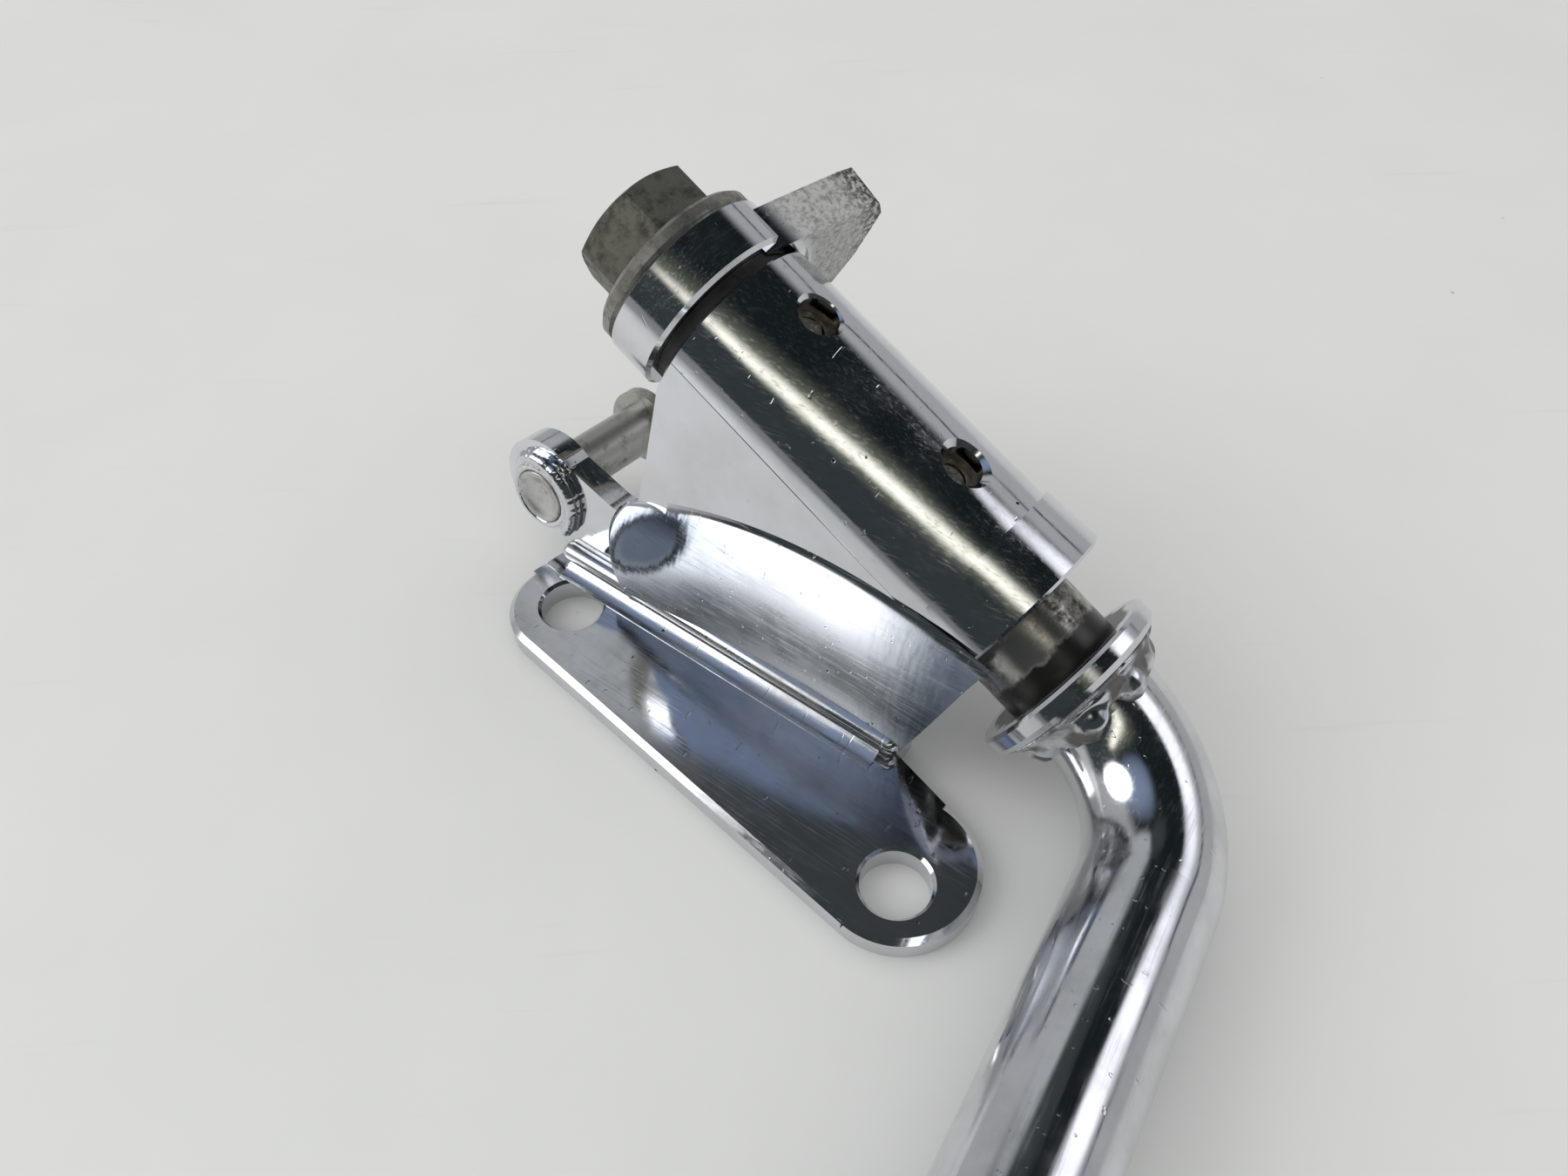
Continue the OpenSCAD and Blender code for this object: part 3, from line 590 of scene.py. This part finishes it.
class STAND_OT_spring_pin(bpy.types.Operator):
    """Finishes the riveted pin that anchors the return spring"""
    bl_idname = "stand.spring_pin"
    bl_label = "Spring pin"

    def execute(self, context):
        # Drawing leaves faint lines down the pin, and it has hardly stained
        pin = context.scene.stand_steel.pin
        dress("spring_pin", weathered_steel("bare steel pin, drawn", pin, "4A4742", 0.3, 0.62, INTO_WEB))
        self.dished_end(context)
        self.rolled_rim()
        return {"FINISHED"}

    def dished_end(self, context):
        """The dished end of the pin, hammered over"""
        deselect()
        bpy.ops.mesh.primitive_cylinder_add(vertices=72, radius=PIN_RADIUS, depth=PIN_THICKNESS)
        dish = context.object
        bpy.ops.object.mode_set(mode="EDIT")
        bpy.ops.mesh.select_all(action="DESELECT")
        bpy.ops.object.mode_set(mode="OBJECT")
        for face in dish.data.polygons:
            face.select = face.normal.z > 0.9
        bpy.ops.object.mode_set(mode="EDIT")
        bpy.ops.mesh.select_mode(type="FACE")
        for inset, sink in DISH_STEPS:
            bpy.ops.mesh.inset(thickness=inset * MM)
            bpy.ops.transform.translate(value=(0, 0, -sink * MM))
        bpy.ops.object.mode_set(mode="OBJECT")
        edge = dish.modifiers.new("edge", "BEVEL")
        edge.width = 0.3 * MM
        edge.segments = 3
        edge.limit_method = "ANGLE"
        edge.angle_limit = math.radians(50)
        bpy.ops.object.modifier_apply(modifier="edge")
        bpy.ops.object.shade_smooth_by_angle(angle=math.radians(40))
        dish.name = "pin_dished_end"
        place_by(dish, PIN_END - 0.9 * MM * INTO_WEB, FOLD, -UP_WEB, -INTO_WEB)
        # Hammering has brightened the steel, and brown stains are left in patches
        dress(dish, weathered_steel(
            "bare steel, hammered over", "B4B3B0", "7A6F60", 0.3, 0.6, UP_WEB, "C8C8C6"))
        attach(dish, "bracket")

    def rolled_rim(self):
        """The rolled rim that holds the pin"""
        rolls = random.Random(7)
        beads = []
        for start, stop, reach, thick, count, wander, bulge in RIM_ROWS:
            for step in range(count):
                angle = math.radians(start + (stop - start) * step / count)
                swell = bulge * math.sin(math.pi * step / count)
                out = (reach + rolls.uniform(-wander, wander)) * MM
                around = math.cos(angle) * FOLD + math.sin(angle) * UP_WEB
                spot = PIN_END + out * around - 0.75 * MM * INTO_WEB
                beads.append(bead((thick + swell + rolls.uniform(-wander, wander)) * MM, spot))
        rim = settle(fuse(beads, "pin_rolled_rim", 0.16 * MM, 9))
        # Rolling broke the surface, so its plate is hazier and has more pits
        dress(rim, decorative_chrome("chrome plate, rough in the rolled rim", UP_WEB, 0.25, 2.5))
        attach(rim, "bracket")


class STAND_OT_thrust_washer(bpy.types.Operator):
    """Finishes the black washer between barrel and leg stop"""
    bl_idname = "stand.thrust_washer"
    bl_label = "Thrust washer"

    def execute(self, context):
        # Acetal is black with a low gloss, and old grease makes it browner and more matt in patches
        dress("thrust_washer", grainy_filler(
            "acetal washer, greased black", 1.2 * MM, 5.0, 0.6, ((0.35, "0D0D0E"), (0.7, "1F1D1A")),
            ((0.3, 0.35), (0.7, 0.65)), 0.4, 0.03 * MM))
        return {"FINISHED"}


class STAND_OT_shaft(bpy.types.Operator):
    """Finishes the bare pivot shaft with its smears of grease and rust, and painted shade where it meets the
    flange and the barrel's mouth
    """
    bl_idname = "stand.shaft"
    bl_label = "Pivot shaft"

    def execute(self, context):
        # The bushes have rubbed the turned steel bright, and old grease has stained it
        s = context.scene.stand_steel
        material = weathered_steel(
            "bare turned steel with old grease", s.shaft, s.grease, 0.16, 0.5, AWAY, "B9B8B4")
        tree, shader, place = parts_of(material)
        # Black grease and painted shade in a collar against the flange, and in a band at the barrel's mouth
        grit = add(tree, "TexNoise", None, place, Scale=1 / (2.2 * MM), Detail=5.0, Roughness=0.6)
        a = distance_along(tree, place, ALONG, PIVOT)
        a = add(tree, "Math", TIMES_PLUS, grit, 2.4 * MM, a)
        collar = add(tree, "MapRange", SMOOTH, a, 66.9 * MM, 68.1 * MM)
        mouth_grease_and_painted_shade = add(tree, "MapRange", SMOOTH, a, 62.5 * MM, 61.3 * MM)
        black = add(tree, "Math", LARGER, collar, mouth_grease_and_painted_shade)
        # The black is grease and painted shade together; the grease also makes it matt and not metal
        cover(tree, shader, black, linear("1A1916"), 0.28, 0.0)
        dress("pivot_shaft", material)
        return {"FINISHED"}


class STAND_OT_grease(bpy.types.Operator):
    """Packs old grease and grit into the two lubrication holes"""
    bl_idname = "stand.grease"
    bl_label = "Grease in the holes"

    def execute(self, context):
        # Old grease is dark with some gloss left, and the grit in it is paler and matt
        tones = ((0.35, "2A2925"), (0.55, "55544D"), (0.72, "8A8981"))
        material = grainy_filler(
            "old grease with road grit", 0.7 * MM, 7.0, 0.7, tones, ((0.3, 0.3), (0.7, 0.75)), 0.9, 0.15 * MM)
        rolls = random.Random(3)
        for number, a in enumerate(GREASE_HOLES, 1):
            # One broad blob, with eight small ones strewn over it
            blobs = []
            for step in range(9):
                turn = rolls.uniform(0, math.tau)
                out = rolls.uniform(0.0, 1.7) * MM if step else 0.0
                blob = bead((1.1 if step else 2.6) * MM)
                blob.scale = (1, 1, 0.42)
                blob.location = (out * math.cos(turn), out * math.sin(turn), (0.3 * MM if step else 0.0))
                blobs.append(settle(blob))
            plug = fuse(blobs, f"grease_plug_{number}", 0.16 * MM, 2)
            place_by(plug, PIVOT + a * ALONG + GREASE_HEIGHT * OVER, ALONG, OVER.cross(ALONG), OVER)
            dress(plug, material)
            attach(plug, "bracket")
        return {"FINISHED"}


class STAND_OT_leg_stop(bpy.types.Operator):
    """Chromes the leg stop's collar and leaves its arm rubbed and bare"""
    bl_idname = "stand.leg_stop"
    bl_label = "Leg stop"

    def execute(self, context):
        # The collar shines; the arm shows grainy grey forging, dark and rusty towards its tip
        material = decorative_chrome("chrome plate on leg stop, arm rubbed bare", AWAY, 0.1, 0.3)
        tree, shader, place = parts_of(material)
        radius = axis_radius(tree, place)
        arm = add(tree, "MapRange", SMOOTH, radius, 15.0 * MM, 17.5 * MM)
        tip = add(tree, "MapRange", SMOOTH, radius, 24 * MM, 29 * MM)
        cast = add(tree, "TexNoise", None, place, Scale=1 / (0.9 * MM), Detail=7.0, Roughness=0.72)
        grey = add(tree, "ValToRGB", {"stops": ((0.45, 0.0), (0.62, 1.0))}, cast)
        colour = add(tree, "Mix", COLOURS, grey, linear("C4C4C3"), linear("8F8D8A"))
        rusty = add(tree, "ValToRGB", {"stops": ((0.42, 0.0), (0.55, 1.0))}, cast)
        rusty = add(tree, "Math", TIMES, tip, rusty)
        colour = add(tree, "Mix", COLOURS, rusty, colour, linear("3B3835"))
        rough = add(tree, "ValToRGB", {"stops": ((0.3, 0.4), (0.7, 0.6))}, cast)
        cover(tree, shader, arm, colour, rough, 0.35)
        normal = shader.inputs["Normal"].links[0].from_socket
        height = add(tree, "Math", TIMES, cast, arm)
        normal = add(tree, "Bump", None, 0.7, 0.12 * MM, Height=height, Normal=normal)
        tree.links.new(normal, shader.inputs["Normal"])
        dress("leg_stop", material)
        return {"FINISHED"}


class STAND_OT_bolt(bpy.types.Operator):
    """Finishes the hexagon bolt and the heavy washer under it"""
    bl_idname = "stand.bolt"
    bl_label = "Bolt and washer"

    def execute(self, context):
        # Zinc goes dull and grey-green outdoors; the washer has kept a little more of its shine
        zinc = context.scene.stand_steel.bolt
        dress("hex_bolt", weathered_steel(
            "zinc-plated steel, weathered", zinc, "45443B", 0.52, 0.55, ALONG, "85847B"))
        dress("flat_washer", weathered_steel(
            "zinc-plated washer, weathered", "8B8881", "4B4740", 0.4, 0.55, AWAY))
        return {"FINISHED"}


class STAND_OT_leg(bpy.types.Operator):
    """Chromes the flange, its weld, the bent bar and the foot"""
    bl_idname = "stand.leg"
    bl_label = "Leg"

    def execute(self, context):
        # Long strokes down the bar leave its mirror a little hazy
        chrome = decorative_chrome("chrome plate on bent bar", BAR_BRUSH, 0.25, 0.6)
        self.flange()
        self.weld(context)
        dress("leg_bar", chrome)
        self.foot(context, chrome)
        return {"FINISHED"}

    def flange(self):
        """The turned flange, bright outside, and near the shaft black with grease and painted shade"""
        material = decorative_chrome(
            "chrome plate on turned flange, greasy near the shaft", AWAY, 0.1, 0.3)
        tree, shader, place = parts_of(material)
        grit = add(tree, "TexNoise", None, place, Scale=1 / (2.5 * MM), Detail=6.0, Roughness=0.6)
        reach = add(tree, "Math", TIMES_PLUS, grit, 4 * MM, axis_radius(tree, place))
        # Black near the shaft: grease, and painted shade in the gap between flange and barrel
        greasy_and_painted_shade = add(tree, "MapRange", SMOOTH, reach, 15.4 * MM, 14.2 * MM)
        cover(tree, shader, greasy_and_painted_shade, linear("1B1A17"), 0.3, 0.0)
        dress("flange_collar", material)

    def weld(self, context):
        """The lumpy weld behind the flange, in place of the plain ring"""
        rolls = random.Random(11)
        core = NODES["flange_weld"].copy()
        core.data = core.data.copy()
        context.scene.collection.objects.link(core)
        core.parent = None
        core.matrix_world = NODES["flange_weld"].matrix_world
        deselect()
        core.select_set(True)
        context.view_layer.objects.active = core
        bpy.ops.object.mode_set(mode="EDIT")
        bpy.ops.mesh.select_all(action="SELECT")
        bpy.ops.mesh.remove_doubles(threshold=0.001 * MM)
        bpy.ops.mesh.normals_make_consistent(inside=False)
        bpy.ops.object.mode_set(mode="OBJECT")
        beads = [settle(core)]
        for step in range(WELD_BEADS):
            angle = math.tau * step / WELD_BEADS + rolls.uniform(-0.15, 0.15)
            reach = rolls.uniform(8.4, 9.2) * MM
            a = FLANGE_BACK + rolls.uniform(1.6, 3.4) * MM
            spot = PIVOT + a * ALONG + reach * (math.cos(angle) * AWAY + math.sin(angle) * OVER)
            beads.append(bead(rolls.uniform(3.2, 3.9) * MM, spot))
        weld = settle(fuse(beads, "flange_weld_bead", 0.3 * MM, 30))
        # The plate is thin on weld metal, and rust has dulled it in patches
        material = decorative_chrome("chrome plate on weld, rusting in the hollows", AWAY, 0.35, 1.5)
        tree, shader, place = parts_of(material)
        grit = add(tree, "TexNoise", None, place, Scale=1 / (4.5 * MM), Detail=3.0, Roughness=0.5)
        rust = add(tree, "MapRange", SMOOTH, grit, 0.4, 0.58)
        cover(tree, shader, add(tree, "Math", TIMES, rust, 0.85), linear("3B3630"), 0.5, 0.2)
        dress(weld, material)
        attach(weld, "leg")
        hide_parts("flange_weld")

    def foot(self, context, chrome):
        """The foot: each step carries the last ring forward, thins it and moves its halves apart"""
        deselect()
        bpy.ops.mesh.primitive_circle_add(vertices=72, radius=FOOT_RINGS[0][1] * MM, fill_type="NGON")
        foot = context.object
        foot.name = "leg_foot_forged"
        bpy.ops.object.mode_set(mode="EDIT")
        bpy.ops.mesh.select_mode(type="VERT")
        bpy.ops.mesh.select_all(action="SELECT")
        for (z0, w0, h0), (z1, w1, h1) in zip(FOOT_RINGS, FOOT_RINGS[1:]):
            ahead = (0, 0, (z1 - z0) * MM)
            bpy.ops.mesh.extrude_region_move(TRANSFORM_OT_translate={"value": ahead})
            before, after = w0 - h0, w1 - h1
            spread_halves(foot, -before * MM)
            bpy.ops.transform.resize(value=(h1 / h0, h1 / h0, 1), center_override=(0, 0, z1 * MM))
            spread_halves(foot, after * MM)
        bpy.ops.mesh.select_all(action="SELECT")
        bpy.ops.mesh.normals_make_consistent(inside=False)
        bpy.ops.object.mode_set(mode="OBJECT")
        bpy.ops.object.shade_smooth_by_angle(angle=math.radians(50))
        place_by(foot, FOOT_START, FOOT_WIDE.cross(FOOT_AHEAD), FOOT_WIDE, FOOT_AHEAD)
        dress(foot, chrome)
        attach(foot, "leg")
        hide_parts("leg_foot")


class STAND_OT_stage(bpy.types.Operator):
    """Builds the table, the lamps, the surroundings and the camera"""
    bl_idname = "stand.stage"
    bl_label = "Studio"

    def execute(self, context):
        s = context.scene.stand_studio
        self.table(context, s)
        self.surroundings(context, s)
        lamp = bpy.data.lights.new("soft window", "AREA")
        lamp.shape = "ELLIPSE"
        lamp.size, lamp.size_y = WINDOW_SIZE
        lamp.energy = s.window
        stand_at(lamp, WINDOW_SPOT, (0, 0, 0))
        camera = bpy.data.cameras.new("camera")
        camera.sensor_width = 36
        camera.lens = s.lens
        camera.clip_start = 0.01
        context.scene.camera = stand_at(camera, s.eye, s.aim)
        context.scene.view_settings.view_transform = "Standard"
        return {"FINISHED"}

    def table(self, context, s):
        """The table top, a hair below the stand"""
        deselect()
        below = CAD_BOX[0][2] - 0.02 * MM
        bpy.ops.mesh.primitive_plane_add(size=s.table_size, location=(0, 0, below))
        table = context.object
        table.name = "table_top"
        settle(table)
        # Satin paint is pale and even, and shows only faint smudges
        material, tree, shader, place = start_material("painted table top, satin")
        smudge = add(tree, "TexNoise", None, place, Scale=1 / (55 * MM), Detail=6.0, Roughness=0.6)
        shade = add(tree, "ValToRGB", {"stops": ((0.25, 0.0), (0.75, 0.5))}, smudge)
        colour = add(tree, "Mix", COLOURS, shade, linear(s.table), linear("E0E1DF"))
        # Small dark specks and faint wipe marks
        speck = specks(tree, place, 21 * MM, 0.35, (0.012, 0.55), (0.03, 0.0))
        colour = add(tree, "Mix", COLOURS, speck, colour, linear("8E8C86"))
        aslant = lie(tree, place, Vector((1, 1.1, 0)), 14)
        wipe = add(tree, "TexNoise", None, aslant, Scale=1 / (5 * MM), Detail=3.0, Roughness=0.6)
        wipe = add(tree, "ValToRGB", {"stops": ((0.66, 0.0), (0.75, 1.0))}, wipe)
        wipe = add(tree, "Math", TIMES, wipe, 0.25)
        colour = add(tree, "Mix", COLOURS, wipe, colour, linear("C9C8C4"))
        # Seen in the chrome, the table carries a painted shadow that deepens towards the front
        far = add(tree, "MapRange", SMOOTH, distance_along(tree, place, (0, 1, 0)), -0.13, -0.34)
        mirrored = add(tree, "LightPath").node.outputs["Is Glossy Ray"]
        mirrored = add(tree, "Math", TIMES, add(tree, "Math", TIMES, far, mirrored), 0.7)
        colour = add(tree, "Mix", COLOURS, mirrored, colour, linear("50545A"))
        rough = add(tree, "ValToRGB", {"stops": ((0.3, 0.38), (0.7, 0.5))}, smudge)
        tree.links.new(colour, shader.inputs["Base Color"])
        tree.links.new(rough, shader.inputs["Roughness"])
        dress(table, material)

    def surroundings(self, context, s):
        """What the chrome mirrors, and the even light for all else"""
        world = bpy.data.worlds.new("studio surroundings")
        context.scene.world = world
        world.use_nodes = True
        tree = world.node_tree
        tree.nodes.clear()
        way = add(tree, "TexCoord").node.outputs["Generated"]
        axes = add(tree, "SeparateXYZ", None, way).node.outputs
        # Pale walls behind and to the left, up to head height; a dim room in front; a dark ceiling
        ceiling, head = math.sin(math.radians(47)), math.sin(math.radians(33))
        low = add(tree, "MapRange", SMOOTH, axes["Z"], ceiling, head)
        behind = distance_along(tree, way, (-0.707, 0.707, 0))
        behind = add(tree, "MapRange", SMOOTH, behind, -0.32, -0.12)
        room = add(tree, "Mix", COLOURS, low, linear("151D1F"), linear("363D3F"))
        wall = add(tree, "Mix", COLOURS, low, linear("151D1F"), linear("B3B4B6"))
        colour = add(tree, "Mix", COLOURS, behind, room, wall)
        # Round patches: a pale wall top, the dark above it, a dim bluish lamp and a bright white one
        for azimuth, height, inner, outer, tone in (
                (143, 42, 8, 17, linear("B4B7B9")), (126, 60, 4, 13, linear("3C4042")),
                (-142, 60, 6, 30, linear("8493AE")), (50, 41, 8, 17, LAMP_LIGHT)):
            patch = glow(tree, way, azimuth, height, inner, outer)
            colour = add(tree, "Mix", COLOURS, patch, colour, tone)
        # A dark rail along the far wall
        rail = add(tree, "Math", ABSOLUTE, add(tree, "Math", MINUS, axes["Z"], RAIL_HEIGHT))
        rail = add(tree, "MapRange", SMOOTH, rail, 0.03, 0.012)
        rail = add(tree, "Math", TIMES, rail, add(tree, "MapRange", SMOOTH, axes["Y"], 0.3, 0.6))
        colour = add(tree, "Mix", COLOURS, rail, colour, linear("4B5161"))
        # A bare tube lamp under the ceiling, with its glow
        up = add(tree, "Math", LARGER, axes["Z"], 0.05)
        flat_x = add(tree, "Math", DIVIDED, axes["X"], up)
        flat_y = add(tree, "Math", DIVIDED, axes["Y"], up)
        flat = add(tree, "CombineXYZ", None, flat_x, flat_y)
        off = add(tree, "Math", MINUS, distance_along(tree, flat, TUBE_ACROSS), TUBE_OFFSET)
        off = add(tree, "Math", ABSOLUTE, off)
        run = distance_along(tree, flat, TUBE_RUN)
        near = add(tree, "MapRange", SMOOTH, run, -1.35, -0.9)
        run = add(tree, "Math", TIMES, near, add(tree, "MapRange", SMOOTH, run, 0.3, -0.15))
        core = add(tree, "Math", TIMES, add(tree, "MapRange", SMOOTH, off, 0.17, 0.02), run)
        halo = add(tree, "Math", TIMES, add(tree, "MapRange", SMOOTH, off, 0.42, 0.0), run)
        halo = add(tree, "Math", TIMES, halo, 0.4)
        colour = add(tree, "Mix", COLOURS, halo, colour, linear("B9BFA8"))
        colour = add(tree, "Mix", COLOURS, core, colour, TUBE_LIGHT)
        # Plain and even for the table and for the view past its edge
        path = add(tree, "LightPath").node.outputs
        even = (s.fill, s.fill, s.fill, 1)
        colour = add(tree, "Mix", COLOURS, path["Is Glossy Ray"], even, colour)
        colour = add(tree, "Mix", COLOURS, path["Is Camera Ray"], colour, linear(s.table))
        add(tree, "OutputWorld", None, add(tree, "Background", None, colour, 1.0))


class STAND_PT_panel(bpy.types.Panel):
    """Lists the steps that dress the side stand"""
    bl_idname = "STAND_PT_panel"
    bl_label = "Side stand"
    bl_space_type = "VIEW_3D"
    bl_region_type = "UI"
    bl_category = "Side stand"

    def draw(self, context):
        for group in SETTINGS:
            holder = getattr(context.scene, group)
            for name in holder.__annotations__:
                self.layout.prop(holder, name)
        for step in STEPS:
            self.layout.operator(step.bl_idname)


STEPS = (STAND_OT_bracket, STAND_OT_bushes, STAND_OT_spring_pin, STAND_OT_thrust_washer, STAND_OT_shaft,
         STAND_OT_grease, STAND_OT_leg_stop, STAND_OT_bolt, STAND_OT_leg, STAND_OT_stage)
SETTINGS = {"stand_chrome": ChromeSettings, "stand_steel": SteelSettings, "stand_studio": StudioSettings}


def register():
    for group in SETTINGS.values():
        bpy.utils.register_class(group)
    for name, group in SETTINGS.items():
        setattr(bpy.types.Scene, name, bpy.props.PointerProperty(type=group))
    for step in (*STEPS, STAND_PT_panel):
        bpy.utils.register_class(step)


def unregister():
    for step in reversed((*STEPS, STAND_PT_panel)):
        bpy.utils.unregister_class(step)
    for name, group in SETTINGS.items():
        delattr(bpy.types.Scene, name)
        bpy.utils.unregister_class(group)


def main():
    register()
    for step in STEPS:
        getattr(bpy.ops.stand, step.bl_idname.split(".")[1])()


if __name__ == "__main__":
    main()
